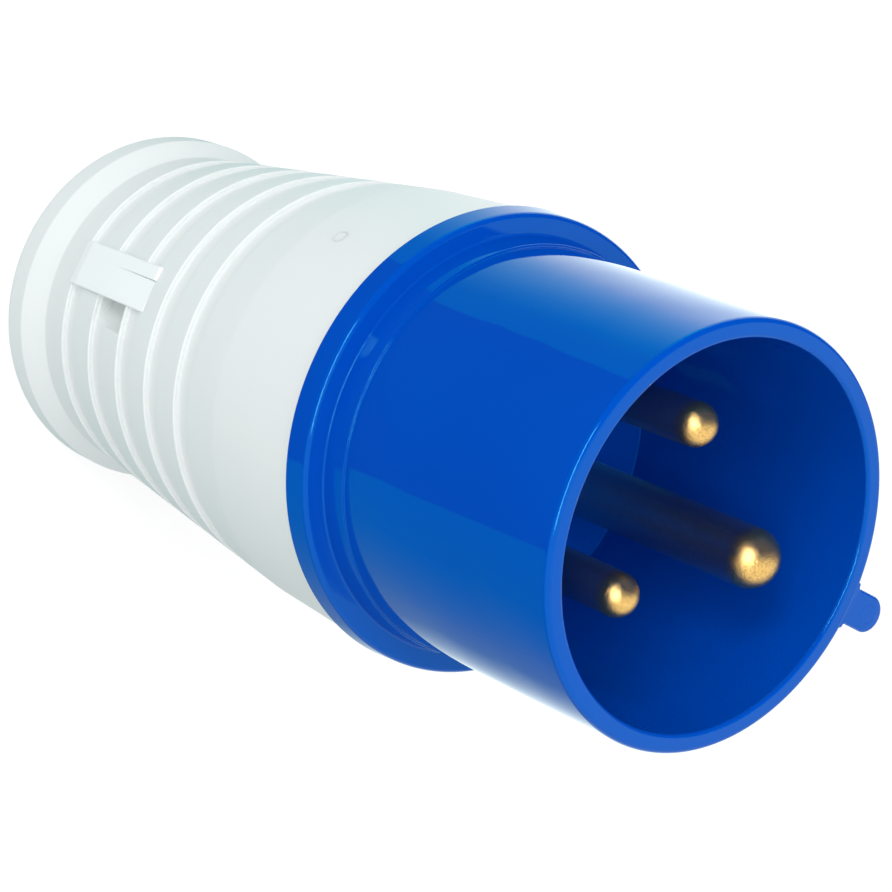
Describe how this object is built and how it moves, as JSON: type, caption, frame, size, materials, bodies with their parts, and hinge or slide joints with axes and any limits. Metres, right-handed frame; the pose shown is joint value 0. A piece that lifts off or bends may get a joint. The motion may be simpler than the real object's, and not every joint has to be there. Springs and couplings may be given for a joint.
{
  "type": "industrial plug",
  "caption": "Industrial plug with a blue shroud round three round brass pins, a key at the rim and a light grey grooved rear housing with a latch tab.",
  "frame": {"origin": "centre of the tail face that the plug stands on, on the plug's axis", "axes": "+Z along the axis from the tail to the rim; -Y towards the key and the earth pin; +X towards the line pin"},
  "size_m": [0.0562, 0.0575, 0.116],
  "materials": {
    "blue_plastic": "glossy moulded polyamide, self-coloured blue",
    "light_grey_plastic": "semi-gloss moulded polyamide, very light grey",
    "black_plastic": "matt moulded insulating plastic",
    "seal_rubber": "soft black rubber",
    "brass": "turned brass, fine lathe lines",
    "plated_steel": "zinc-plated steel"
  },
  "bodies": {
    "root": {"shroud": "blue_plastic", "rear_housing": "light_grey_plastic", "front_gasket": "seal_rubber", "cable_seal": "seal_rubber", "seal_retainer": "light_grey_plastic", "contact_carrier": "black_plastic", "line_pin": "brass", "neutral_pin": "brass", "earth_pin": "brass", "line_terminal_screw": "plated_steel", "neutral_terminal_screw": "plated_steel", "earth_terminal_screw": "plated_steel", "line_wire_guard": "plated_steel", "neutral_wire_guard": "plated_steel", "earth_wire_guard": "plated_steel", "carrier_screw_left": "plated_steel", "carrier_screw_right": "plated_steel", "carrier_screw_top": "plated_steel", "clamp_yoke": "black_plastic", "clamp_saddle": "black_plastic", "clamp_screw_left": "plated_steel", "clamp_screw_right": "plated_steel", "clamp_nut_left": "plated_steel", "clamp_nut_right": "plated_steel"}
  },
  "joints": []
}
